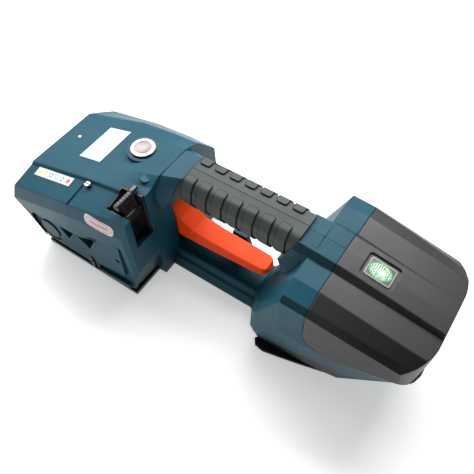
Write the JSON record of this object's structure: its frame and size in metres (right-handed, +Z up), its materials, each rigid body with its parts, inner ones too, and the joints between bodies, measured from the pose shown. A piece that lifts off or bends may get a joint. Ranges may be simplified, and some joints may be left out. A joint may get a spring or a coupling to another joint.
{
  "type": "battery strapping tool",
  "caption": "Hand-held battery tool for plastic strapping, with a teal moulded body, grey-green rubber grip, orange trigger, chrome start button and black slide-off battery pack.",
  "frame": {"origin": "underside of the steel base plate, under the start button's side of the head, on the handle's centre plane", "axes": "+X from the battery towards the tool head, +Y towards the strap side, +Z up"},
  "size_m": [0.3828, 0.1332, 0.1258],
  "materials": {
    "teal": "moulded glass-filled nylon, fine satin grain",
    "black": "moulded, satin",
    "pack": "moulded battery shell, semi-matte grain",
    "grip": "soft overmould",
    "orange": "satin moulded lever",
    "steel": "ground steel",
    "blackened": "blackened steel plate",
    "chrome": "plated",
    "cap": "satin anodised",
    "alu": "die-cast",
    "label": "printed film, blank",
    "green": "printed film, plain mark",
    "board": "circuit board",
    "cellwrap": "shrink sleeve",
    "brass": "contact metal"
  },
  "bodies": {
    "body": {"head_hood": "teal", "frame_near": "teal", "frame_far": "teal", "case_screws": "blackened", "pivot_pins": "steel", "circuit_boards": "board", "board_mounts": "black", "grip_rubber": "grip", "battery_socket": "black", "socket_pins": "brass", "board_parts": "black", "wiring_loom": "black", "rear_feet": "black", "base_plate": "blackened", "base_screws": "steel", "gripper_plate": "steel", "weld_anvil": "steel", "chin_guard": "black", "strap_door": "teal", "button_bezel": "chrome", "bezel_gasket": "black", "switch_body": "black", "button_spring": "steel", "status_lens": "label", "guide_screw": "steel", "name_plate": "label", "icon_label": "label", "oval_label": "label", "lever_pocket": "black", "trigger_bracket": "black", "trigger_spring": "steel", "mechanism_plate": "alu", "cutter_guide": "alu", "cutter_spring": "steel", "vent_cover": "black"},
    "battery": {"battery_hood": "pack", "battery_badge": "green", "battery_tray": "pack", "terminal_block": "black", "battery_contacts": "brass", "cells": "cellwrap", "cell_links": "steel", "pack_board": "board", "latch_spring": "steel"},
    "latch": {"battery_latch": "black"},
    "door_latch": {"door_latch": "black"},
    "button": {"button_cap": "cap"},
    "lever": {"release_lever": "black"},
    "trigger": {"trigger": "orange"},
    "rocker": {"rocker_arm": "steel", "gearbox_housing": "steel", "motor_can": "steel", "planet_gears": "steel"},
    "rotor": {"motor_rotor": "steel"},
    "feed": {"feed_wheel": "steel"},
    "weld": {"weld_block": "steel", "weld_foot": "steel"},
    "eccentric": {"weld_eccentric": "steel"},
    "cutter": {"cutter_blade": "steel"}
  },
  "joints": [
    {"name": "trigger_hinge", "type": "hinge", "parent": "body", "child": "trigger", "pos_m": [-0.049, 0, 0.046], "axis": [0, 1, 0], "range_deg": [0, 12], "stiffness_Nm_per_rad": 0.8, "deforming": ["trigger_spring"]},
    {"name": "rocker_hinge", "type": "hinge", "parent": "body", "child": "rocker", "pos_m": [0.046, 0, 0.04], "axis": [0, 1, 0], "range_deg": [0, 5]},
    {"name": "feed_spin", "type": "hinge", "parent": "rocker", "child": "feed", "pos_m": [0.013, 0, 0.024], "axis": [0, 1, 0], "continuous": true},
    {"name": "rotor_spin", "type": "hinge", "parent": "rocker", "child": "rotor", "pos_m": [0.013, 0, 0.024], "axis": [0, 1, 0], "continuous": true},
    {"name": "button_press", "type": "slide", "parent": "body", "child": "button", "axis": [0, 0, -1], "range_m": [0, 0.0022], "stiffness_N_per_m": 900, "deforming": ["button_spring"]},
    {"name": "lever_hinge", "type": "hinge", "parent": "body", "child": "lever", "pos_m": [-0.056, 0, 0.1], "axis": [0, 1, 0], "range_deg": [0, 20]},
    {"name": "weld_press", "type": "slide", "parent": "body", "child": "weld", "axis": [0, 0, -1], "range_m": [0, 0.00174], "stiffness_N_per_m": 2500},
    {"name": "eccentric_spin", "type": "hinge", "parent": "weld", "child": "eccentric", "pos_m": [-0.031, 0, 0.033], "axis": [0, 1, 0], "continuous": true},
    {"name": "cutter_slide", "type": "slide", "parent": "body", "child": "cutter", "axis": [0, 0, -1], "range_m": [0, 0.0022], "deforming": ["cutter_spring"]},
    {"name": "battery_slide", "type": "slide", "parent": "body", "child": "battery", "axis": [-0.9848, 0, 0.1736], "range_m": [0, 0.09]},
    {"name": "latch_press", "type": "slide", "parent": "battery", "child": "latch", "axis": [0, 1, 0], "range_m": [0, 0.0028], "stiffness_N_per_m": 600, "deforming": ["latch_spring"]},
    {"name": "door_latch_turn", "type": "hinge", "parent": "body", "child": "door_latch", "pos_m": [-0.0104, 0, 0.0186], "axis": [0, 1, 0], "range_deg": [0, 90]}
  ],
  "couplings": [
    {"joint": "rocker_hinge", "follows": "trigger_hinge", "ratio": 0.41667},
    {"joint": "feed_spin", "follows": "rotor_spin", "ratio": 0.05},
    {"joint": "lever_hinge", "follows": "weld_press", "rad_per_m": 200},
    {"joint": "cutter_slide", "follows": "weld_press", "ratio": 1.2}
  ]
}
